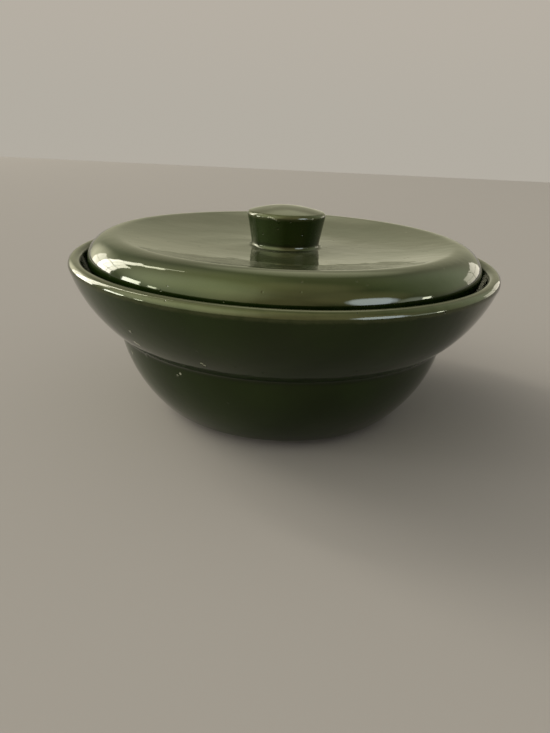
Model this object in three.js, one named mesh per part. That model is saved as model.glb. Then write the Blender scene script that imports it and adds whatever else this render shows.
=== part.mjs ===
// A round stoneware casserole dish with a lid that drops into its flared collar.
// Two fired pieces: the dish, and the lid with its knob luted on before firing.
// Millimetres, +Z up. The origin is on the table, at the centre of the foot ring.

import * as THREE from "three";

// Driving dimensions of the dish
const RIM_RADIUS = 115; // at the widest plane of the lip
const RIM_HEIGHT = 82.5; // of that plane above the table
const DISH_WALL = 6.8; // the lip is rounded over the whole of it
const COLLAR_FLARE = 23.6; // how far the lip stands out past the step
const STEP_HEIGHT = 46.6; // where the flared collar springs from the body
const STEP_FILLET = 3.5;
const COLLAR_BEND = 70; // radius of the collar's swelling curve
const BODY_BEND = 74; // radius of the body's curve below the step
const BODY_LEAN = THREE.MathUtils.degToRad(8.5); // of the wall just under the step
const HEEL_ROUND = 13; // radius where the body turns under
const HEEL_HEIGHT = 3; // of the turned-under heel above the table
const FOOT_INSET = 3.5; // foot ring, in from where the heel runs level
const FOOT_WIDTH = 7;
const FOOT_EDGE = 0.8; // wiped edges of the foot ring
const RECESS_HEIGHT = 3.6; // hollow inside the foot ring
const GALLERY_DEPTH = 13; // of the lid's ledge below the plane of the lip
const GALLERY_WIDTH = 11;
const GALLERY_EDGE = 1.6;
const GALLERY_FILLET = 2;

// Driving dimensions of the lid
const LID_GAP = 2.6; // between lid and lip, all the way round
const SEAT_GAP = 0.3; // between lid and ledge
const LID_WALL = 6.2;
const CREST_RISE = 14; // of the lid's crest above the plane of the lip
const CREST_ROUND = 14.4; // radius over the crest
const SHOULDER_DROOP = THREE.MathUtils.degToRad(60); // slope where the tighter shoulder starts
const SHOULDER_INSIDE = 3.8; // inside radius of the shoulder
const SKIRT_LEAN = THREE.MathUtils.degToRad(22);
const SKIRT_EDGE = 1.8;
const WELL_DEPTH = 6.6; // of the dished middle below the crest
const WELL_FLOOR = 5; // level ring between the knob's fillet and the rising well

// Driving dimensions of the knob
const KNOB_RADIUS = 21.4; // at its widest, near the top
const KNOB_NECK = 18.8; // radius just above its fillet
const KNOB_FILLET = 2;
const KNOB_HEIGHT = 21.7; // above the floor of the well
const KNOB_EDGE = 2.2; // rounding of the top edge
const KNOB_CROWN = 5; // of the domed top above the middle of that rounding

// How finely the curves are faceted
const CHORD_ERROR = 0.08;
const SIDES = 48;

const QUARTER = Math.PI / 2;

const glaze = new THREE.MeshStandardMaterial({ color: 0x2b3315, roughness: 0.12, metalness: 0 });
const lidGlaze = new THREE.MeshStandardMaterial({ color: 0x2f3718, roughness: 0.12, metalness: 0 });

// A point of a profile: distance from the axis, and height.
function at(radius, height) {
  return new THREE.Vector2(radius, height);
}

// The point at a distance and an angle from a centre.
function polar(centre, reach, angle) {
  return at(centre.x + reach * Math.cos(angle), centre.y + reach * Math.sin(angle));
}

// A circular arc, with as many chords as the allowed chord error needs.
function arc(centre, radius, from, to) {
  const largestStep = 2 * Math.acos(1 - Math.min(CHORD_ERROR / radius, 0.5));
  const steps = Math.max(1, Math.ceil(Math.abs(to - from) / largestStep));
  const points = [];
  for (let i = 0; i <= steps; i += 1) {
    points.push(polar(centre, radius, from + ((to - from) * i) / steps));
  }
  return points;
}

function angleTo(from, to) {
  return Math.atan2(to.y - from.y, to.x - from.x);
}

// Where two circles meet, on the side that `turn` (+1 or -1) names.
function circlesMeet(first, firstRadius, second, secondRadius, turn) {
  const apart = first.distanceTo(second);
  const cosine = (firstRadius ** 2 + apart ** 2 - secondRadius ** 2) / (2 * firstRadius * apart);
  return polar(first, firstRadius, angleTo(first, second) + turn * Math.acos(cosine));
}

// The direction, seen from `centre`, of the point where a line from `outer` touches a circle.
function tangentAngle(centre, reach, outer, turn) {
  return angleTo(centre, outer) + turn * Math.acos(reach / centre.distanceTo(outer));
}

// Joins stretches of a profile and leaves out a point that repeats the one before it.
function outline(...stretches) {
  const points = [];
  for (const point of stretches.flat()) {
    if (points.length === 0 || points[points.length - 1].distanceTo(point) > 1e-4) {
      points.push(point);
    }
  }
  return points;
}

// A solid of revolution that stands on +Z.
function revolve(points) {
  const geometry = new THREE.LatheGeometry(points, SIDES);
  geometry.rotateX(QUARTER);
  return geometry;
}

// Where the dish's curves have their centres.
const stepCorner = at(RIM_RADIUS - COLLAR_FLARE, STEP_HEIGHT);
const lipRound = DISH_WALL / 2;
const lipCentre = at(RIM_RADIUS - lipRound, RIM_HEIGHT);
const collarCentre = circlesMeet(stepCorner, COLLAR_BEND, lipCentre, COLLAR_BEND - lipRound, 1);
const bodyCentre = polar(stepCorner, BODY_BEND, Math.PI - BODY_LEAN);
const heelLevel = HEEL_HEIGHT + HEEL_ROUND;
const heelReach = Math.sqrt((BODY_BEND - HEEL_ROUND) ** 2 - (bodyCentre.y - heelLevel) ** 2);
const heelCentre = at(bodyCentre.x + heelReach, heelLevel);
const heelAngle = angleTo(bodyCentre, heelCentre);
const lipAngle = angleTo(collarCentre, lipCentre);
const stepFilletCentre = circlesMeet(
  bodyCentre,
  BODY_BEND + STEP_FILLET,
  collarCentre,
  COLLAR_BEND + STEP_FILLET,
  -1,
);
const bodyTopAngle = angleTo(bodyCentre, stepFilletCentre);
const collarFootAngle = angleTo(collarCentre, stepFilletCentre);

// The ledge inside the collar that carries the lid.
const galleryHeight = RIM_HEIGHT - GALLERY_DEPTH;
const collarInside = COLLAR_BEND - DISH_WALL;
const galleryFilletReach = collarInside - GALLERY_FILLET;
const galleryAngle = Math.asin((galleryHeight + GALLERY_FILLET - collarCentre.y) / galleryFilletReach);
const galleryFilletCentre = polar(collarCentre, galleryFilletReach, galleryAngle);
const galleryRadius = galleryFilletCentre.x + GALLERY_FILLET;
const ledgeEdgeCentre = at(galleryRadius - GALLERY_WIDTH + GALLERY_EDGE, galleryHeight - GALLERY_EDGE);

function footRing() {
  const radius = heelCentre.x - FOOT_INSET;
  const inner = radius - FOOT_WIDTH;
  return [
    at(0, RECESS_HEIGHT),
    at(inner, RECESS_HEIGHT),
    ...arc(at(inner + FOOT_EDGE, FOOT_EDGE), FOOT_EDGE, 2 * QUARTER, 3 * QUARTER),
    ...arc(at(radius - FOOT_EDGE, FOOT_EDGE), FOOT_EDGE, 3 * QUARTER, 4 * QUARTER),
    at(radius, HEEL_HEIGHT),
  ];
}

function dishOutside() {
  return [
    ...arc(heelCentre, HEEL_ROUND, -QUARTER, heelAngle),
    ...arc(bodyCentre, BODY_BEND, heelAngle, bodyTopAngle),
    ...arc(stepFilletCentre, STEP_FILLET, bodyTopAngle + Math.PI, collarFootAngle + Math.PI),
    ...arc(collarCentre, COLLAR_BEND, collarFootAngle, lipAngle),
    ...arc(lipCentre, lipRound, lipAngle, 0),
    ...arc(lipCentre, lipRound, 0, lipAngle + Math.PI),
  ];
}

// From the lip down over the ledge, along the tapered wall and the bowl to the middle of the floor.
function dishInside() {
  const bowlBend = BODY_BEND - DISH_WALL;
  const taper = tangentAngle(bodyCentre, bowlBend + GALLERY_EDGE, ledgeEdgeCentre, -1);
  return [
    ...arc(collarCentre, collarInside, lipAngle, galleryAngle),
    ...arc(galleryFilletCentre, GALLERY_FILLET, galleryAngle, -QUARTER),
    ...arc(ledgeEdgeCentre, GALLERY_EDGE, QUARTER, Math.PI + taper),
    ...arc(bodyCentre, bowlBend, taper, heelAngle),
    ...arc(heelCentre, HEEL_ROUND - DISH_WALL, heelAngle, -QUARTER),
    at(0, HEEL_HEIGHT + DISH_WALL),
  ];
}

function makeDish() {
  const profile = outline(footRing(), dishOutside(), dishInside());
  const dish = new THREE.Mesh(revolve(profile), glaze);
  dish.name = "dish";
  return dish;
}

// Where the lid's curves have their centres. The inside is the outside moved in by the wall.
const lidRadius = RIM_RADIUS - DISH_WALL - LID_GAP;
const shoulderRound = SHOULDER_INSIDE + LID_WALL;
const crestInset = shoulderRound + (CREST_ROUND - shoulderRound) * Math.sin(SHOULDER_DROOP);
const crestCentre = at(lidRadius - crestInset, RIM_HEIGHT + CREST_RISE - CREST_ROUND);
const shoulderAngle = QUARTER - SHOULDER_DROOP;
const shoulderCentre = polar(crestCentre, CREST_ROUND - shoulderRound, shoulderAngle);
const wellFloorHeight = RIM_HEIGHT + CREST_RISE - WELL_DEPTH;
const wellStart = KNOB_NECK + KNOB_FILLET + WELL_FLOOR;
const wellSpan = crestCentre.x - wellStart;
const wellBend = (wellSpan ** 2 + WELL_DEPTH ** 2) / (2 * WELL_DEPTH) - CREST_ROUND;
const wellCentre = at(wellStart, wellFloorHeight + wellBend);
const wellAngle = angleTo(wellCentre, crestCentre);
const seatHeight = galleryHeight + SEAT_GAP;

// The centre of a rounded bottom corner of the skirt: `inset` is the depth of its face below the
// lid's outer face, and `side` is +1 where the corner's material lies inwards of that face.
function skirtCorner(inset, side) {
  const start = polar(shoulderCentre, shoulderRound - inset - side * SKIRT_EDGE, -SKIRT_LEAN);
  const drop = start.y - seatHeight - SKIRT_EDGE;
  return at(start.x - drop * Math.tan(SKIRT_LEAN), seatHeight + SKIRT_EDGE);
}

function lidInside() {
  return [
    at(0, wellFloorHeight - LID_WALL),
    ...arc(wellCentre, wellBend + LID_WALL, -QUARTER, wellAngle),
    ...arc(crestCentre, CREST_ROUND - LID_WALL, wellAngle + Math.PI, shoulderAngle),
    ...arc(shoulderCentre, SHOULDER_INSIDE, shoulderAngle, -SKIRT_LEAN),
    ...arc(skirtCorner(LID_WALL, -1), SKIRT_EDGE, Math.PI - SKIRT_LEAN, 3 * QUARTER),
  ];
}

function lidOutside() {
  return [
    ...arc(skirtCorner(0, 1), SKIRT_EDGE, -QUARTER, -SKIRT_LEAN),
    ...arc(shoulderCentre, shoulderRound, -SKIRT_LEAN, shoulderAngle),
    ...arc(crestCentre, CREST_ROUND, shoulderAngle, wellAngle + Math.PI),
    ...arc(wellCentre, wellBend, wellAngle, -QUARTER),
  ];
}

function knob() {
  const topHeight = wellFloorHeight + KNOB_HEIGHT;
  const edgeCentre = at(KNOB_RADIUS - KNOB_EDGE, topHeight - KNOB_CROWN);
  const filletCentre = at(KNOB_NECK + KNOB_FILLET, wellFloorHeight + KNOB_FILLET);
  const flank = tangentAngle(edgeCentre, KNOB_EDGE + KNOB_FILLET, filletCentre, 1);
  const domeSquares = edgeCentre.x ** 2 + KNOB_CROWN ** 2 - KNOB_EDGE ** 2;
  const domeRadius = domeSquares / (2 * (KNOB_CROWN - KNOB_EDGE));
  const domeCentre = at(0, topHeight - domeRadius);
  const domeAngle = angleTo(domeCentre, edgeCentre);
  return [
    ...arc(filletCentre, KNOB_FILLET, -QUARTER, flank - Math.PI),
    ...arc(edgeCentre, KNOB_EDGE, flank, domeAngle),
    ...arc(domeCentre, domeRadius, domeAngle, QUARTER).slice(0, -1),
    at(0, topHeight),
  ];
}

function makeLid() {
  const profile = outline(lidInside(), lidOutside(), knob());
  const lid = new THREE.Mesh(revolve(profile), lidGlaze);
  lid.name = "lid";
  return lid;
}

const casserole = new THREE.Group();
casserole.add(makeDish(), makeLid());

export default casserole;
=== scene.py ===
# %% [markdown]
# A round stoneware casserole dish with a lid that drops into its flared collar. Both pieces were
# shaped on a wheel, dipped in a deep olive green glaze and fired, so they are surfaces of
# revolution under a thin glassy skin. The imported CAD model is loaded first, because it fixes the
# size and the place of everything. Each of its two solids is then replaced by a finer surface.

# %% Load the fixed frame
import math

import bpy
import numpy as np
from mathutils import Matrix, Vector


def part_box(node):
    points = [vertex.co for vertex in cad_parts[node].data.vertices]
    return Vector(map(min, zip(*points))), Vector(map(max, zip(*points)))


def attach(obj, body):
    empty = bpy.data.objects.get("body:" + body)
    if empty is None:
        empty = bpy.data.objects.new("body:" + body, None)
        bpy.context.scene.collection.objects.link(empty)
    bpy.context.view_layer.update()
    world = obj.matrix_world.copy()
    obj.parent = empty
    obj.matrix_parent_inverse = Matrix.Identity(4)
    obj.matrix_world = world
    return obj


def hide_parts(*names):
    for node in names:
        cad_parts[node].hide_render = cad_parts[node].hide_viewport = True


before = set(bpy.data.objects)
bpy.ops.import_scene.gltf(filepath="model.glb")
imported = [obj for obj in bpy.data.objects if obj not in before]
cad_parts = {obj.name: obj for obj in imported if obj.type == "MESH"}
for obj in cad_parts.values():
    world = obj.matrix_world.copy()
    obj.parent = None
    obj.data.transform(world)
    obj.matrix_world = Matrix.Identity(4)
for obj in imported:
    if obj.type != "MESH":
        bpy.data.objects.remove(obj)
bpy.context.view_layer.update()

dish_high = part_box("dish")[1]
lid_low, lid_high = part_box("lid")
MM = 0.001

# %% [markdown]
# The sizes. The widest radius, the height of the lid's seat and the knob's top come from the
# frame. The rest are the potter's own measures, in millimetres, as the CAD solids have them.

# %% Sizes of the dish and the lid
RIM_RADIUS = dish_high.x / MM
RIM_HEIGHT = 82.5
DISH_WALL = 6.8
COLLAR_FLARE = 23.6
STEP_HEIGHT = 46.6
STEP_FILLET = 3.5
COLLAR_BEND = 70
BODY_BEND = 74
BODY_LEAN = math.radians(8.5)
HEEL_ROUND = 13
HEEL_HEIGHT = 3
FOOT_INSET = 3.5
FOOT_WIDTH = 7
FOOT_EDGE = 0.8
RECESS_HEIGHT = 3.6
GALLERY_DEPTH = 13
GALLERY_WIDTH = 11
GALLERY_EDGE = 1.6
GALLERY_FILLET = 2

LID_GAP = 2.6
LID_RADIUS = RIM_RADIUS - DISH_WALL - LID_GAP
SEAT_HEIGHT = lid_low.z / MM
LID_WALL = 6.2
CREST_RISE = 14
CREST_HEIGHT = RIM_HEIGHT + CREST_RISE
CREST_ROUND = 14.4
SHOULDER_DROOP = math.radians(60)
SHOULDER_INSIDE = 3.8
SKIRT_LEAN = math.radians(22)
SKIRT_EDGE = 1.8
WELL_DEPTH = 6.6
WELL_FLOOR = 5

KNOB_TOP = lid_high.z / MM
KNOB_RADIUS = 21.4
KNOB_NECK = 18.8
KNOB_FILLET = 2
KNOB_EDGE = 2.2
KNOB_CROWN = 5

QUARTER = math.pi / 2
SPACING = 1.1
WIDEST_ANGLE = math.radians(7)
SAME_POINT = 0.0001
SIDES = 240
print("rim and lid, mm across:", round(2 * RIM_RADIUS, 1), "and", round(2 * LID_RADIUS, 1))

# %% [markdown]
# A potter's profile is a chain of arcs, each of which runs smoothly into the next. Typing in many
# points would hide that, so each arc is worked out from its centre, its radius and the two angles
# where it touches its neighbours. A complex number is a handy point in the plane of the profile:
# its real part is the distance from the axis, and its imaginary part is the height.

# %% Helpers for profiles made of arcs
def polar(centre, reach, angle):
    """The point at a distance and an angle from a centre."""
    return centre + reach * np.exp(1j * angle)


def angle_to(start, end):
    return float(np.angle(end - start))


def arc(centre, radius, start, end):
    """Points at equal angles on a circle, no further apart than SPACING or WIDEST_ANGLE."""
    turn = abs(end - start)
    steps = max(2, math.ceil(turn * radius / SPACING), math.ceil(turn / WIDEST_ANGLE))
    return polar(centre, radius, np.linspace(start, end, steps + 1))


def line(start, end):
    """Points at equal distances on a straight line."""
    steps = max(1, math.ceil(abs(end - start) / SPACING))
    return start + (end - start) * np.linspace(0, 1, steps + 1)


def circles_meet(first, first_radius, second, second_radius, side):
    """Where two circles cross, by the cosine rule in the triangle of the centres and that point.
    On the way from the first centre to the second, side 1 is the left and side -1 the right."""
    apart = abs(second - first)
    cosine = (first_radius**2 + apart**2 - second_radius**2) / (2 * first_radius * apart)
    return polar(first, first_radius, angle_to(first, second) + side * math.acos(cosine))


def tangent_angle(centre, reach, outer, side):
    """The direction from a circle's centre to the point where a line from `outer` touches it, on
    the left of the way to `outer` for side 1 and on the right for side -1."""
    return angle_to(centre, outer) + side * math.acos(reach / abs(outer - centre))


def join(*stretches):
    """One profile from several stretches: straight gaps are filled, repeated points left out."""
    points = list(stretches[0])
    for stretch in stretches[1:]:
        gap = abs(stretch[0] - points[-1])
        if gap > SPACING:
            points.extend(line(points[-1], stretch[0])[1:-1])
        points.extend(stretch if gap > SAME_POINT else stretch[1:])
    return np.array(points)


# %% [markdown]
# The dish. From the middle of its underside the profile runs out over the recess and the foot
# ring, round the heel and up the body to the step. The collar flares from there to a lip that is
# rounded over the whole wall. Inside it drops to the ledge that carries the lid, and goes down
# the bowl to the floor.

# %% Where the arcs of the dish lie
step_corner = complex(RIM_RADIUS - COLLAR_FLARE, STEP_HEIGHT)
lip_round = DISH_WALL / 2
lip_centre = complex(RIM_RADIUS - lip_round, RIM_HEIGHT)
collar_centre = circles_meet(step_corner, COLLAR_BEND, lip_centre, COLLAR_BEND - lip_round, 1)
body_centre = polar(step_corner, BODY_BEND, math.pi - BODY_LEAN)
heel_level = HEEL_HEIGHT + HEEL_ROUND
heel_reach = math.sqrt((BODY_BEND - HEEL_ROUND) ** 2 - (body_centre.imag - heel_level) ** 2)
heel_centre = complex(body_centre.real + heel_reach, heel_level)
heel_angle = angle_to(body_centre, heel_centre)
lip_angle = angle_to(collar_centre, lip_centre)
fillet_centre = circles_meet(
    body_centre, BODY_BEND + STEP_FILLET, collar_centre, COLLAR_BEND + STEP_FILLET, -1
)
body_top = angle_to(body_centre, fillet_centre)
collar_foot = angle_to(collar_centre, fillet_centre)

foot_radius = heel_centre.real - FOOT_INSET
foot_inner = foot_radius - FOOT_WIDTH
print("foot ring, mm across:", round(2 * foot_radius, 1))

# %% Profile of the dish
def foot_profile():
    return join(
        line(RECESS_HEIGHT * 1j, complex(foot_inner, RECESS_HEIGHT)),
        arc(complex(foot_inner + FOOT_EDGE, FOOT_EDGE), FOOT_EDGE, math.pi, 3 * QUARTER),
        arc(complex(foot_radius - FOOT_EDGE, FOOT_EDGE), FOOT_EDGE, -QUARTER, 0),
        line(complex(foot_radius, 2 * FOOT_EDGE), complex(foot_radius, HEEL_HEIGHT)),
    )


def outside_profile():
    return join(
        arc(heel_centre, HEEL_ROUND, -QUARTER, heel_angle),
        arc(body_centre, BODY_BEND, heel_angle, body_top),
        arc(fillet_centre, STEP_FILLET, body_top + math.pi, collar_foot + math.pi),
        arc(collar_centre, COLLAR_BEND, collar_foot, lip_angle),
        arc(lip_centre, lip_round, lip_angle, 0),
        arc(lip_centre, lip_round, 0, lip_angle + math.pi),
    )


def inside_profile():
    gallery = RIM_HEIGHT - GALLERY_DEPTH
    reach = COLLAR_BEND - DISH_WALL - GALLERY_FILLET
    start = math.asin((gallery + GALLERY_FILLET - collar_centre.imag) / reach)
    corner = polar(collar_centre, reach, start)
    ledge = corner.real + GALLERY_FILLET - GALLERY_WIDTH
    edge = complex(ledge + GALLERY_EDGE, gallery - GALLERY_EDGE)
    bowl = BODY_BEND - DISH_WALL
    taper = tangent_angle(body_centre, bowl + GALLERY_EDGE, edge, -1)
    return join(
        arc(collar_centre, COLLAR_BEND - DISH_WALL, lip_angle, start),
        arc(corner, GALLERY_FILLET, start, -QUARTER),
        arc(edge, GALLERY_EDGE, QUARTER, math.pi + taper),
        arc(body_centre, bowl, taper, heel_angle),
        arc(heel_centre, HEEL_ROUND - DISH_WALL, heel_angle, -QUARTER),
        line(complex(heel_centre.real, HEEL_HEIGHT + DISH_WALL), (HEEL_HEIGHT + DISH_WALL) * 1j),
    )


dish_profile = join(foot_profile(), outside_profile(), inside_profile())
print("dish profile:", len(dish_profile), "points, widest", round(dish_profile.real.max(), 2), "mm")

# %% [markdown]
# The lid. Its inside is its outside moved in by the wall, so both share the centres of their arcs.
# The top is dished round the knob, rises to a broad crest and rolls over a tighter shoulder into
# the skirt, which stands on the ledge. The knob leans out towards its top and has a domed crown.

# %% Where the arcs of the lid lie
shoulder_round = SHOULDER_INSIDE + LID_WALL
crest_inset = shoulder_round + (CREST_ROUND - shoulder_round) * math.sin(SHOULDER_DROOP)
crest_centre = complex(LID_RADIUS - crest_inset, CREST_HEIGHT - CREST_ROUND)
shoulder_angle = QUARTER - SHOULDER_DROOP
shoulder_centre = polar(crest_centre, CREST_ROUND - shoulder_round, shoulder_angle)
well_height = CREST_HEIGHT - WELL_DEPTH
well_start = KNOB_NECK + KNOB_FILLET + WELL_FLOOR
well_span = crest_centre.real - well_start
well_bend = (well_span**2 + WELL_DEPTH**2) / (2 * WELL_DEPTH) - CREST_ROUND
well_centre = complex(well_start, well_height + well_bend)
well_angle = angle_to(well_centre, crest_centre)
print("crest and floor of the lid, mm up:", round(CREST_HEIGHT, 1), "and", round(well_height, 1))

# %% Profile of the lid
def skirt_corner(inset, side):
    """Centre of a rounded bottom corner of the skirt, whose faces lean in by SKIRT_LEAN. The
    outer corner has inset 0 and side 1, the inner one the wall as inset and side -1."""
    start = polar(shoulder_centre, shoulder_round - inset - side * SKIRT_EDGE, -SKIRT_LEAN)
    drop = start.imag - SEAT_HEIGHT - SKIRT_EDGE
    return complex(start.real - drop * math.tan(SKIRT_LEAN), SEAT_HEIGHT + SKIRT_EDGE)


def lid_profile_under():
    ceiling = well_height - LID_WALL
    return join(
        line(ceiling * 1j, complex(well_start, ceiling)),
        arc(well_centre, well_bend + LID_WALL, -QUARTER, well_angle),
        arc(crest_centre, CREST_ROUND - LID_WALL, well_angle + math.pi, shoulder_angle),
        arc(shoulder_centre, SHOULDER_INSIDE, shoulder_angle, -SKIRT_LEAN),
        arc(skirt_corner(LID_WALL, -1), SKIRT_EDGE, math.pi - SKIRT_LEAN, 3 * QUARTER),
    )


def lid_profile_over():
    return join(
        arc(skirt_corner(0, 1), SKIRT_EDGE, -QUARTER, -SKIRT_LEAN),
        arc(shoulder_centre, shoulder_round, -SKIRT_LEAN, shoulder_angle),
        arc(crest_centre, CREST_ROUND, shoulder_angle, well_angle + math.pi),
        arc(well_centre, well_bend, well_angle, -QUARTER),
    )


def knob_profile():
    """Fillet, leaning flank, rounded edge and domed crown. The crown's circle is tangent to the
    edge's circle, which gives its radius from the rise and the width."""
    edge = complex(KNOB_RADIUS - KNOB_EDGE, KNOB_TOP - KNOB_CROWN)
    fillet = complex(KNOB_NECK + KNOB_FILLET, well_height + KNOB_FILLET)
    flank = tangent_angle(edge, KNOB_EDGE + KNOB_FILLET, fillet, 1)
    squares = edge.real**2 + KNOB_CROWN**2 - KNOB_EDGE**2
    dome_radius = squares / (2 * (KNOB_CROWN - KNOB_EDGE))
    dome = (KNOB_TOP - dome_radius) * 1j
    dome_angle = angle_to(dome, edge)
    return join(
        arc(fillet, KNOB_FILLET, -QUARTER, flank - math.pi),
        arc(edge, KNOB_EDGE, flank, dome_angle),
        arc(dome, dome_radius, dome_angle, QUARTER)[:-1],
        np.array([KNOB_TOP * 1j]),
    )


lid_profile = join(lid_profile_under(), lid_profile_over(), knob_profile())
print("lid profile:", len(lid_profile), "points, widest", round(lid_profile.real.max(), 2), "mm")

# %% [markdown]
# Nothing thrown on a wheel is quite true, and a glossy glaze shows it: the reflections wander. A
# bump in the material could do this too, but waves this wide belong to the shape. So a few slow
# waves, each a cosine that winds round the axis and along the profile, are pressed into the
# surface. They only ever go inwards, so that the piece stays within its real size.

# %% Slow waves in the clay
WAVE_DEPTH = 0.22
WAVE_COUNT = 7
MOST_LOBES = 8
LONGEST_WAVE = 60.0
SHORTEST_WAVE = 22.0


def waves(turn, along, seed):
    """The mean of cosines of (lobes x turn + 2 pi x distance along / wavelength + phase), brought
    from the range -1 to 1 into the range 0 to 1."""
    draw = np.random.default_rng(seed)
    total = np.zeros(np.broadcast(turn, along).shape)
    for _ in range(WAVE_COUNT):
        lobes = draw.integers(1, MOST_LOBES + 1)
        length = draw.uniform(SHORTEST_WAVE, LONGEST_WAVE)
        phase = draw.uniform(0, 2 * math.pi)
        total += np.cos(lobes * turn + 2 * math.pi * along / length + phase)
    return 0.5 + 0.5 * total / WAVE_COUNT


# %% [markdown]
# Glaze runs thin over edges and pools in hollows. A shader could guess where they are from the
# finished mesh, but the profile knows it exactly, so how sharply it bends is worked out here and
# stored on the points, where the material reads it.

# %% How sharply a profile bends
THIN_BEND = 0.22
BEND_REACH = 1.6


def bend_of(profile):
    """How sharply the profile bends at each point, in radians per millimetre, averaged over
    BEND_REACH either side. Above zero is an edge that sticks out, below zero a hollow."""
    steps = np.diff(profile)
    lengths = np.abs(steps)
    turns = np.angle(steps[1:] / steps[:-1])
    along = np.concatenate([[0], np.cumsum(lengths)])
    near = np.abs(along[:, None] - along[None, 1:-1]) < BEND_REACH
    return (near * turns).sum(1) / (2 * BEND_REACH), along


def store_bend(mesh, bend):
    """The bend as a share of THIN_BEND, from -1 in a hollow to 1 on an edge, on every point."""
    share = np.clip(bend / THIN_BEND, -1, 1)
    values = np.concatenate([share[:1], np.repeat(share[1:-1], SIDES), share[-1:]])
    layer = mesh.attributes.new("edge", "FLOAT", "POINT")
    layer.data.foreach_set("value", values.astype(np.float32))


# %% [markdown]
# A surface of revolution is a grid: the profile along one side, the angle round the axis along
# the other. One array operation gives all its points, and faces join each point to its
# neighbours. The first and last points of these profiles lie on the axis, where the grid closes
# in a fan of triangles round one shared point.

# %% Points and faces of a surface of revolution
STILL_MIDDLE = 12
STILL_FOOT = 4


def normals_of(profile):
    """Unit vectors square to the profile that point out of the clay."""
    along = np.gradient(profile)
    return -1j * along / np.abs(along)


def grid_faces(rows, sides):
    """Quads between neighbouring rings, and a fan of triangles to the pole at either end.
    Ring r has its points at 1 + r * sides, the first pole is point 0 and the other the last."""
    ring = 1 + np.arange(rows)[:, None] * sides
    here, there = np.arange(sides), np.roll(np.arange(sides), -1)
    quads = np.stack(
        [ring[:-1] + here, ring[:-1] + there, ring[1:] + there, ring[1:] + here], -1
    ).reshape(-1, 4)
    last = 1 + rows * sides
    start_fan = np.stack([np.zeros(sides, int), 1 + there, 1 + here], -1)
    end_fan = np.stack([np.full(sides, last), ring[-1] + here, ring[-1] + there], -1)
    return start_fan.tolist() + quads.tolist() + end_fan.tolist()


def turned_points(profile, along, seed):
    """Point (s, t) is the profile's point s, pushed in by the waves, turned to angle t. The waves
    fade out over STILL_MIDDLE towards the axis and over STILL_FOOT down to the foot."""
    inner = profile[1:-1, None]
    turn = np.linspace(0, 2 * math.pi, SIDES, endpoint=False)[None, :]
    fade = np.clip(inner.real / STILL_MIDDLE, 0, 1)
    fade = fade * np.clip((inner.imag - HEEL_HEIGHT) / STILL_FOOT, 0, 1)
    push = WAVE_DEPTH * fade * waves(turn, along[1:-1, None], seed)
    moved = inner - push * normals_of(profile)[1:-1, None]
    ring = np.stack([moved.real * np.cos(turn), moved.real * np.sin(turn), moved.imag], -1)
    poles = [[0, 0, profile[0].imag], [0, 0, profile[-1].imag]]
    return np.concatenate([poles[:1], ring.reshape(-1, 3), poles[1:]]) * MM


# %% Make the two pieces
def revolve(name, profile, seed):
    bend, along = bend_of(profile)
    points = turned_points(profile, along, seed)
    mesh = bpy.data.meshes.new(name)
    mesh.from_pydata(points.tolist(), [], grid_faces(len(profile) - 2, SIDES))
    mesh.polygons.foreach_set("use_smooth", np.ones(len(mesh.polygons), bool))
    store_bend(mesh, bend)
    mesh.update()
    piece = bpy.data.objects.new(name, mesh)
    bpy.context.scene.collection.objects.link(piece)
    triangles = sum(len(p.vertices) - 2 for p in mesh.polygons)
    print(name, "has", len(mesh.vertices), "points and", triangles, "triangles")
    return piece


dish = revolve("dish_surface", dish_profile, seed=3)
lid = revolve("lid_surface", lid_profile, seed=8)

# %% [markdown]
# A material is a graph of nodes. It could be drawn by hand in the shader editor, but here each
# helper adds one node and either links its inputs to other nodes or sets them to numbers, so
# that the finishes below read like formulas.

# %% Helpers for node materials
OF_VECTORS = "ShaderNodeVectorMath"


def new_material(name):
    material = bpy.data.materials.new(name)
    material.use_nodes = True
    tree = material.node_tree
    return material, tree, tree.nodes["Principled BSDF"]


def feed(tree, socket, value):
    """Links an input to another node's output, or sets it to a number, colour or vector."""
    if isinstance(value, bpy.types.NodeSocket):
        tree.links.new(value, socket)
    else:
        socket.default_value = value


def add(tree, kind, **inputs):
    """A node with its named inputs fed."""
    node = tree.nodes.new(kind)
    for name, value in inputs.items():
        feed(tree, node.inputs[name], value)
    return node


def noise(tree, place, scale, detail=3.0):
    node = add(tree, "ShaderNodeTexNoise", Vector=place, Scale=scale, Detail=detail)
    return node.outputs["Fac"]


def spread(tree, value, low, high, start=0.0, end=1.0):
    """Maps low..high to start..end, with smooth ends."""
    node = add(tree, "ShaderNodeMapRange", Value=value)
    node.interpolation_type = "SMOOTHSTEP"
    for name, number in (("From Min", low), ("From Max", high), ("To Min", start), ("To Max", end)):
        node.inputs[name].default_value = number
    return node.outputs["Result"]


def maths(tree, operation, first, second, kind="ShaderNodeMath"):
    """A number worked out from two numbers, or from two vectors with the kind OF_VECTORS."""
    node = tree.nodes.new(kind)
    node.operation = operation
    for socket, value in zip(node.inputs, (first, second)):
        feed(tree, socket, value)
    return node.outputs["Value"]


def mix(tree, share, first, second, blend="MIX"):
    node = tree.nodes.new("ShaderNodeMix")
    node.data_type = "RGBA"
    node.blend_type = blend
    for name, value in (("Factor_Float", share), ("A_Color", first), ("B_Color", second)):
        feed(tree, next(s for s in node.inputs if s.identifier == name), value)
    return next(s for s in node.outputs if s.identifier == "Result_Color")


# %% [markdown]
# The glaze is a dark green glass about half a millimetre thick. Over an edge it runs thin and
# lighter, and in a hollow it pools deep and almost black. The shader mixes three colours by the
# stored bend, disturbed by noise so that the change wanders. It could be a clear coat over a layer
# of clay, but one dark, very smooth dielectric mirrors the room in the same way and exports as it
# is.

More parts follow.
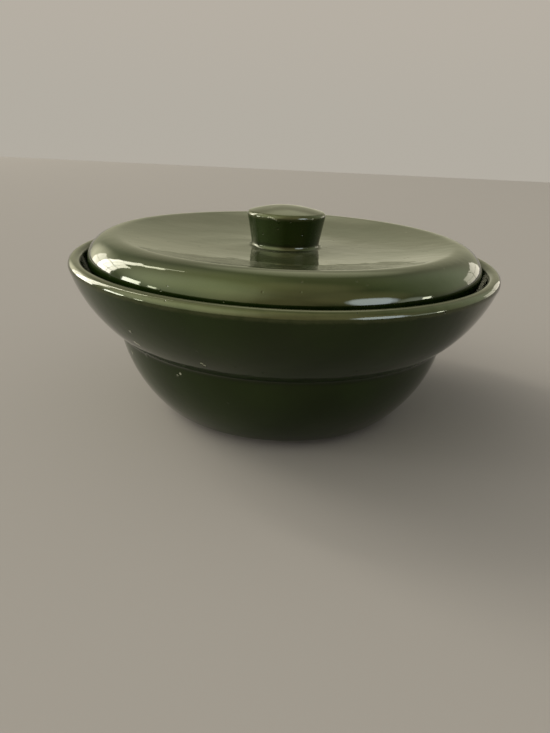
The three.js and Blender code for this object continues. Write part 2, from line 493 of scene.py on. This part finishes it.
# %% Colour of the glaze
DEEP = (0.0032, 0.0085, 0.0007, 1)
GREEN = (0.0088, 0.0200, 0.0022, 1)
THIN = (0.034, 0.040, 0.015, 1)


def glaze_colour(tree, cloud, fine):
    """GREEN, clouded with DEEP. The stored bend brings in THIN on edges and DEEP in hollows, and
    the fine noise makes the border between them ragged."""
    edge = tree.nodes.new("ShaderNodeAttribute")
    edge.attribute_name = "edge"
    ragged = maths(tree, "MULTIPLY", spread(tree, fine, 0.3, 0.7, 0.75, 1.25), edge.outputs["Fac"])
    thin = spread(tree, ragged, 0.35, 1.1)
    pooled = spread(tree, maths(tree, "MULTIPLY", ragged, -1.0), 0.1, 0.9)
    colour = mix(tree, spread(tree, cloud, 0.3, 0.7, 0.0, 0.7), GREEN, DEEP)
    colour = mix(tree, pooled, colour, DEEP)
    return mix(tree, thin, colour, THIN)


# %% [markdown]
# Dust has settled in a thin film on what faces up, and this pale film is also a painted sheen:
# the haze that the glaze shows on its top at a glancing angle. It could be a rougher layer of its
# own, but it is so thin that the glaze still mirrors through it, so it only pales the colour
# under the shine.

# %% Film of dust and painted sheen
# Pale dust colour, which also paints the glancing sheen on glaze that faces up.
DUST_AND_SHEEN = (0.34, 0.32, 0.19, 1)
SHEEN_DUST_SHARE = 0.12
SHEEN_DUST_SLOPE = 0.90
SHEEN_DUST_LEVEL = 0.995


def dust_and_sheen_film(tree, cloud):
    """How much dust and painted sheen lies at a point: none where the normal's upward part is
    under SHEEN_DUST_SLOPE, all of it from SHEEN_DUST_LEVEL up, and thicker and thinner in the
    patches of the cloud noise."""
    facing = tree.nodes.new("ShaderNodeNewGeometry").outputs["Normal"]
    up = add(tree, "ShaderNodeSeparateXYZ", Vector=facing).outputs["Z"]
    patches = spread(tree, cloud, 0.2, 0.8, 0.6 * SHEEN_DUST_SHARE, 1.4 * SHEEN_DUST_SHARE)
    return maths(tree, "MULTIPLY", spread(tree, up, SHEEN_DUST_SLOPE, SHEEN_DUST_LEVEL), patches)


# %% [markdown]
# The glaze boiled a little in the kiln, which left pinholes, and it ran before it set, which left
# ripples. Both are far too fine for the mesh, so they are a bump: a height that only tilts the
# shading. Where a blister broke, a small chip is left, with a pale fleck that is also a painted
# glint: light caught on it, put into its colour. Chips could be painted into an image, but that
# would limit how sharp they are, so the shader measures how far each point is from the middle of a
# chip, and the fine noise makes its outline ragged.

# %% Pinholes, ripples, and chips with painted glints
SPECK = (0.003, 0.004, 0.001, 1)
PIT_SCALE = 150.0
RIPPLE_SCALE = 60.0
RIPPLE_HEIGHT = 0.0002
# The pale fleck of a chip, partly bare clay and partly a painted glint.
CHIP_AND_GLINT = (0.30, 0.31, 0.22, 1)
CHIP_RISE = 0.8


def glaze_height(tree, place, fine, pit):
    """Slow ripples and a tenth as much fine grain, with each pit sunk into them."""
    slow = noise(tree, place, RIPPLE_SCALE, 2.0)
    ripple = maths(tree, "ADD", maths(tree, "MULTIPLY", fine, 0.10), slow)
    return maths(tree, "SUBTRACT", ripple, maths(tree, "MULTIPLY", pit, 0.5))


def chip_and_glint_shares(tree, place, fine, centre, reach):
    """How near a point is to a chip's centre, from 1 to 0 at its reach, and how much of its pale
    fleck, partly a painted glint, shows there.
    """
    away = maths(tree, "DISTANCE", place, centre, OF_VECTORS)
    near = spread(tree, away, 0.2 * reach, reach, 1.0, 0.0)
    bare = spread(tree, maths(tree, "MULTIPLY", near, spread(tree, fine, 0.35, 0.6)), 0.4, 0.8)
    return near, bare


# %% The glaze, put together
GLAZE_IOR = 1.48
GLAZE_TINT = (0.74, 0.80, 0.48, 1)
SMOOTHEST = 0.04
ROUGHEST = 0.075
CLOUD_SCALE = 30.0
FINE_SCALE = 210.0


def glaze_material(name, chips_and_glints):
    """Chips are places, in metres, where a blister in the glaze broke: (x, y, z, reach). Each gets a
    pale fleck that is also a painted glint. What is left of the blister stands up by CHIP_RISE of
    the ripples' height."""
    material, tree, shader = new_material(name)
    place = tree.nodes.new("ShaderNodeTexCoord").outputs["Object"]
    cloud = noise(tree, place, CLOUD_SCALE)
    fine = noise(tree, place, FINE_SCALE, 5.0)
    pits = add(tree, "ShaderNodeTexVoronoi", Vector=place, Scale=PIT_SCALE, Randomness=1.0)
    pit = spread(tree, pits.outputs["Distance"], 0.03, 0.09, 1.0, 0.0)
    colour = mix(tree, pit, glaze_colour(tree, cloud, fine), SPECK)
    # Painted sheen: the film pales glaze that faces up, partly for real dust and partly for its
    # glancing haze.
    colour = mix(tree, dust_and_sheen_film(tree, cloud), colour, DUST_AND_SHEEN)
    height = glaze_height(tree, place, fine, pit)
    for *centre, reach in chips_and_glints:
        near, bare = chip_and_glint_shares(tree, place, fine, centre, reach)
        # Painted glint: each chip's pale fleck stands in, in part, for light glinting on it.
        colour = mix(tree, bare, colour, CHIP_AND_GLINT)
        height = maths(tree, "ADD", height, maths(tree, "MULTIPLY", near, CHIP_RISE))
    tree.links.new(colour, shader.inputs["Base Color"])
    roughness = spread(tree, fine, 0.25, 0.75, SMOOTHEST, ROUGHEST)
    tree.links.new(roughness, shader.inputs["Roughness"])
    shader.inputs["IOR"].default_value = GLAZE_IOR
    shader.inputs["Specular Tint"].default_value = GLAZE_TINT
    bump = add(tree, "ShaderNodeBump", Height=height, Strength=1.0, Distance=RIPPLE_HEIGHT)
    tree.links.new(bump.outputs["Normal"], shader.inputs["Normal"])
    print("finish:", name, "with", len(tree.nodes), "nodes")
    return material


# %% [markdown]
# Glaze that touches the kiln shelf would stick to it, so the potter wipes it off the foot ring
# before firing. The bare stoneware there is matt, warm grey-brown and gritty. A mask could fade
# one material into the other, but the wiped line is sharp, so the ring's faces simply have a
# second material.

# %% The bare clay
CLAY_LIGHT = (0.42, 0.33, 0.23, 1)
CLAY_DARK = (0.27, 0.19, 0.12, 1)
CLAY_GRIT = (0.12, 0.08, 0.05, 1)
CLAY_ROUGHNESS = 0.88
GRIT_SCALE = 900.0
STAIN_SCALE = 60.0
GRIT_HEIGHT = 0.0006


def clay_material(name):
    material, tree, shader = new_material(name)
    place = tree.nodes.new("ShaderNodeTexCoord").outputs["Object"]
    grit = noise(tree, place, GRIT_SCALE, 6.0)
    stain = noise(tree, place, STAIN_SCALE)
    colour = mix(tree, spread(tree, stain, 0.35, 0.65), CLAY_LIGHT, CLAY_DARK)
    colour = mix(tree, spread(tree, grit, 0.58, 0.66), colour, CLAY_GRIT)
    tree.links.new(colour, shader.inputs["Base Color"])
    shader.inputs["Roughness"].default_value = CLAY_ROUGHNESS
    bump = add(tree, "ShaderNodeBump", Height=grit, Strength=0.5, Distance=GRIT_HEIGHT)
    tree.links.new(bump.outputs["Normal"], shader.inputs["Normal"])
    return material


# %% [markdown]
# A dish that has been used has marks: small chips, most of them near the step, and a pale
# scratch over the edge of the knob, which is a row of chips that run together. Their pale flecks
# are also painted glints, light caught on the marks and put into their colour. A place on a round
# piece is easiest to say as a turn round the axis, a radius and a height.

# %% Give the pieces their finishes
BARE_HEIGHT = 1.7
BARE_REACH = 2.5


def chips_and_glints_at(*places):
    """Turn in degrees, radius, height and reach in millimetres, made a place in metres."""
    for turn, radius, height, reach in places:
        angle = math.radians(turn)
        yield radius * math.cos(angle) * MM, radius * math.sin(angle) * MM, height * MM, reach * MM


dish_chips_and_glints = chips_and_glints_at(
    (-109.1, 100.3, 55.3, 1.4), (-108.6, 99.3, 54.2, 1.3), (-119.9, 90.5, 42.9, 1.2),
    (-121.2, 90.3, 41.4, 1.1), (-134.3, 91.4, 46.3, 2.2), (-129.8, 101.9, 57.1, 1.9),
    (-129.0, 101.3, 56.3, 1.7), (-127.5, 107.2, 64.6, 1.5), (-145.9, 90.2, 41.1, 1.8),
    (-155.4, 88.3, 35.5, 1.2), (-104.7, 87.7, 32.5, 0.9), (-129.1, 77.9, 14.0, 1.2),
)
# A scratch over the knob's edge, whose pale flecks are partly a painted glint.
knob_scratch_and_glints = chips_and_glints_at(
    (-115.5, 21.2, 107.0, 1.0), (-112.5, 21.3, 107.1, 1.1), (-109.5, 21.3, 106.8, 1.1),
    (-106.6, 21.3, 106.3, 1.1), (-103.6, 21.2, 105.8, 1.1), (-101.0, 21.1, 105.0, 1.0),
)
dish.data.materials.append(glaze_material("dish_olive_glaze", dish_chips_and_glints))
dish.data.materials.append(clay_material("bare_stoneware"))
lid.data.materials.append(glaze_material("lid_olive_glaze", knob_scratch_and_glints))
print("finishes of the dish:", [material.name for material in dish.data.materials])


def paint_foot(piece):
    """Faces whose middle is on the foot ring and below the glaze line get the clay."""
    mesh = piece.data
    middle = np.empty(3 * len(mesh.polygons))
    mesh.polygons.foreach_get("center", middle)
    middle = middle.reshape(-1, 3) / MM
    reach = np.hypot(middle[:, 0], middle[:, 1])
    bare = (middle[:, 2] < BARE_HEIGHT) & (np.abs(reach - foot_radius) < FOOT_WIDTH + BARE_REACH)
    mesh.polygons.foreach_set("material_index", bare.astype(np.int32))
    print("bare faces on the foot ring:", int(bare.sum()))


paint_foot(dish)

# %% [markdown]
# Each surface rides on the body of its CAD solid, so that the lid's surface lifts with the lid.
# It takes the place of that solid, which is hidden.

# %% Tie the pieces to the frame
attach(dish, "dish")
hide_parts("dish")
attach(lid, "lid")
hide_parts("lid")

# %% [markdown]
# The set. A plain pale floor runs out to a plain pale wall. The wall could be a sheet behind the
# dish, but the world's colour stands behind it from every side. The floor is quite matt, because
# a sheen on it would flare up near the horizon. Directions round the dish are given as two
# angles in degrees: the turn from +Y towards +X, and the height over the horizon.

# %% Floor
FLOOR_SIZE = 5.0
FLOOR_COLOUR = (0.42, 0.395, 0.345, 1)


def make_floor():
    half = FLOOR_SIZE / 2
    corners = [(-half, -half, 0), (half, -half, 0), (half, half, 0), (-half, half, 0)]
    mesh = bpy.data.meshes.new("floor")
    mesh.from_pydata(corners, [], [(0, 1, 2, 3)])
    floor = bpy.data.objects.new("floor", mesh)
    bpy.context.scene.collection.objects.link(floor)
    material, _, shader = new_material("floor_paint")
    shader.inputs["Base Color"].default_value = FLOOR_COLOUR
    shader.inputs["Roughness"].default_value = 1.0
    shader.inputs["Specular IOR Level"].default_value = 0.0
    mesh.materials.append(material)


def direction(turn, height):
    """A unit vector from a turn and a height in degrees."""
    turn, height = math.radians(turn), math.radians(height)
    level = math.cos(height)
    return Vector((math.sin(turn) * level, math.cos(turn) * level, math.sin(height)))


make_floor()

# %% [markdown]
# The world is one soft light, seen in three ways. The camera sees the bare wall. Matt surfaces see
# a smooth sky that is brighter from the left, where the windows are. A dark glossy glaze shows
# mostly what it mirrors, so mirrored rays see a room from the horizon up, with broad round
# glows: the lit walls and the ceiling. Each glow is a cone round a direction, and its strength
# falls with the angle from that direction, which a dot product of two unit vectors gives. Two
# glows with an even middle are sharper, and stand for cool daylight from the right.

# %% Light of the wall, the sky and the room
WALL_COLOUR = (0.47, 0.43, 0.37, 1)
HORIZON_COLOUR = (0.45, 0.42, 0.365, 1)
WALL_RISE = 0.22
SKY_LIGHT = (0.355, 0.35, 0.345, 1)
SIDE_LIGHT = (1.05, 1.01, 0.96, 1)
SIDE_TURN = -95
SIDE_HEIGHT = 12
SIDE_REACH = 85
ROOM_COLOUR = (0.54, 0.52, 0.36, 1)
ROOM_START = -0.02
ROOM_FULL = 0.03
REPEAT_LOSS = 0.9
ROOM_GLOWS = (
    # turn, height, reach of the even middle, reach of the soft edge, colour
    (0, 90, 0, 45, (0.45, 0.45, 0.22, 1)),
    (180, 60, 0, 45, (0.20, 0.20, 0.20, 1)),
    (5, 45, 0, 22, (0.90, 0.90, 0.64, 1)),
    (6, 0, 0, 15, (0.19, 0.18, 0.15, 1)),
    (-100, 50, 0, 50, (1.4, 1.35, 0.95, 1)),
    (-125, 28, 0, 50, (2.5, 2.6, 2.25, 1)),
    (-170, 20, 0, 45, (1.0, 0.76, 0.54, 1)),
    (135, 25, 0, 32, (1.2, 1.0, 0.70, 1)),
    (75, 30, 0, 40, (0.55, 0.65, 0.45, 1)),
    (160, 65, 0, 30, (0.85, 0.66, 0.46, 1)),
    (-50, 10, 0, 20, (1.6, 1.5, 1.1, 1)),
    (131, 12, 10, 17, (6.8, 7.4, 12.5, 1)),
    (108, 1, 3, 13, (2.4, 2.5, 2.9, 1)),
)
print("glows in the room:", len(ROOM_GLOWS))

# %% [markdown]
# The lid mirrors the collar and the knob, which mirror the windows in turn. A real glaze has
# ripples so small that a window which is mirrored twice is broken up. More bump would do that, but
# it would blur the first mirroring too, so sharp lights are weaker for rays that were mirrored
# more than once.

# %% Helpers for the light
def first_mirror(tree):
    """One for a ray that was mirrored once, and REPEAT_LOSS less for one that was again."""
    rays = tree.nodes.new("ShaderNodeLightPath")
    again = maths(tree, "GREATER_THAN", rays.outputs["Glossy Depth"], 1.5)
    return maths(tree, "SUBTRACT", 1.0, maths(tree, "MULTIPLY", again, REPEAT_LOSS))


def glow(tree, way, light, turn, rise, middle, edge, colour, strength=1.0):
    """Adds a round glow to a light: even up to `middle` degrees from its direction, and gone at
    `edge` degrees."""
    nearness = maths(tree, "DOT_PRODUCT", way, direction(turn, rise), OF_VECTORS)
    far, near = math.cos(math.radians(edge)), math.cos(math.radians(middle))
    share = maths(tree, "MULTIPLY", spread(tree, nearness, far, near), strength)
    return mix(tree, share, light, colour, "ADD")


# %% World
def make_world():
    world = bpy.data.worlds.new("soft_room")
    bpy.context.scene.world = world
    world.use_nodes = True
    tree = world.node_tree
    way = tree.nodes.new("ShaderNodeTexCoord").outputs["Generated"]
    height = add(tree, "ShaderNodeSeparateXYZ", Vector=way).outputs["Z"]
    wall = mix(tree, spread(tree, height, 0.0, WALL_RISE), HORIZON_COLOUR, WALL_COLOUR)
    room = mix(tree, spread(tree, height, ROOM_START, ROOM_FULL), wall, ROOM_COLOUR)
    for turn, rise, middle, edge, colour in ROOM_GLOWS:
        strength = first_mirror(tree) if middle else 1.0
        room = glow(tree, way, room, turn, rise, middle, edge, colour, strength)
    matt = glow(tree, way, SKY_LIGHT, SIDE_TURN, SIDE_HEIGHT, 0, SIDE_REACH, SIDE_LIGHT)
    rays = tree.nodes.new("ShaderNodeLightPath").outputs
    mirrored = maths(tree, "MAXIMUM", rays["Is Glossy Ray"], rays["Is Transmission Ray"])
    seen = mix(tree, mirrored, matt, room)
    seen = mix(tree, rays["Is Camera Ray"], seen, wall)
    tree.links.new(seen, tree.nodes["Background"].inputs["Color"])


make_world()

# %% [markdown]
# The sharp highlights come from windows. Each is a sheet of area lamps, one for each pane, so that
# the lid shows the bars between them. The lamps stand far off, which keeps the floor evenly lit,
# and their size follows from the angle that they fill. A lamp's watts follow from how bright its
# face should look, because a face of one square metre and radiance one gives out pi watts.

# %% Windows
WINDOW_DISTANCE = 10.0
WINDOW_TARGET = Vector((0, 0, 0.08))
WATTS_PER_RADIANCE = math.pi
BAR = 0.06


def pane(name, turn, height, wide, tall, radiance, colour):
    """One lamp that faces the dish from a turn and a height. It fills `wide` by `tall` degrees,
    less the bar."""
    way = direction(turn, height)
    level = math.cos(math.radians(height))
    data = bpy.data.lights.new(name, "AREA")
    data.shape = "RECTANGLE"
    data.size = WINDOW_DISTANCE * math.radians(wide) * level * (1 - BAR)
    data.size_y = WINDOW_DISTANCE * math.radians(tall) * (1 - BAR)
    data.energy = radiance * WATTS_PER_RADIANCE * data.size * data.size_y
    data.color = colour
    data.use_nodes = True
    tree = data.node_tree
    tree.links.new(first_mirror(tree), tree.nodes["Emission"].inputs["Strength"])
    lamp = bpy.data.objects.new(name, data)
    lamp.location = WINDOW_TARGET + WINDOW_DISTANCE * way
    lamp.rotation_euler = (-way).to_track_quat("-Z", "Y").to_euler()
    lamp.visible_camera = False
    bpy.context.scene.collection.objects.link(lamp)


def window(name, turns, heights, columns, rows, radiance, colour):
    """Panes that fill a range of turns and a range of heights. BAR is the share of each pane's
    width and height that the bars between them take."""
    wide = (turns[1] - turns[0]) / columns
    tall = (heights[1] - heights[0]) / rows
    for column in range(columns):
        for row in range(rows):
            turn = turns[0] + (column + 0.5) * wide
            height = heights[0] + (row + 0.5) * tall
            pane(f"{name}_{column}_{row}", turn, height, wide, tall, radiance, colour)


window("tall_window", (-73, -55), (-1, 31), 3, 3, 10.5, (1.0, 0.94, 0.88))
window("side_window", (-55, -46), (-1, 20), 1, 2, 3.0, (1.0, 0.94, 0.84))
window("slit", (-65, -56), (30.5, 41.5), 1, 1, 10.5, (1.0, 0.94, 0.88))
window("slit_upper", (-67, -60), (41, 50), 1, 1, 12, (1.0, 0.95, 0.88))
window("slit_top", (-63, -60), (49.5, 58), 1, 1, 7, (1.0, 0.95, 0.88))
window("near_window", (-98, -84), (-1.5, 10), 1, 1, 18, (1.0, 0.98, 1.0))
window("near_pane", (-110, -104), (0, 6), 1, 1, 15, (1.0, 0.98, 1.0))
window("right_window", (34, 60), (-1, 14), 2, 2, 1.6, (1.0, 0.92, 0.80))
window("low_window", (95, 101), (-1.5, 5), 1, 1, 16, (1.0, 0.98, 1.0))
print("lamps:", len(bpy.data.lights))

# %% [markdown]
# The camera stands close to the dish and a little above it, as in the photograph, so the near
# side looks large and the lid's top is seen at a glancing angle. Its place and lens were worked
# out from the ring of the lip: its width, its height in the picture and its slight tilt.

# %% Camera
CAMERA_BACK = 0.3121
CAMERA_HEIGHT = 0.1455
CAMERA_TURN = math.radians(-0.45)
CAMERA_DOWN = math.radians(22.48)
CAMERA_ROLL = math.radians(2.67)
FOCAL_PIXELS = 555.0
PICTURE_HEIGHT = 733.0
SENSOR = 36.0


def make_camera():
    """Blender fits the sensor's width to the longer side of the picture, which is its height."""
    data = bpy.data.cameras.new("camera")
    data.sensor_width = SENSOR
    data.lens = SENSOR * FOCAL_PIXELS / PICTURE_HEIGHT
    data.clip_start = 0.01
    camera = bpy.data.objects.new("camera", data)
    bpy.context.scene.collection.objects.link(camera)
    level = math.cos(CAMERA_DOWN)
    east, north = math.sin(CAMERA_TURN), math.cos(CAMERA_TURN)
    ahead = Vector((east * level, north * level, -math.sin(CAMERA_DOWN)))
    right = Vector((north, -east, 0))
    up = right.cross(ahead)
    rolled_right = math.cos(CAMERA_ROLL) * right + math.sin(CAMERA_ROLL) * up
    rolled_up = -math.sin(CAMERA_ROLL) * right + math.cos(CAMERA_ROLL) * up
    turned = Matrix((rolled_right, rolled_up, -ahead)).transposed()
    camera.matrix_world = Matrix.Translation((0, -CAMERA_BACK, CAMERA_HEIGHT)) @ turned.to_4x4()
    bpy.context.scene.camera = camera
    print("lens, mm:", round(data.lens, 2))


make_camera()
bpy.context.scene.view_settings.view_transform = "Standard"
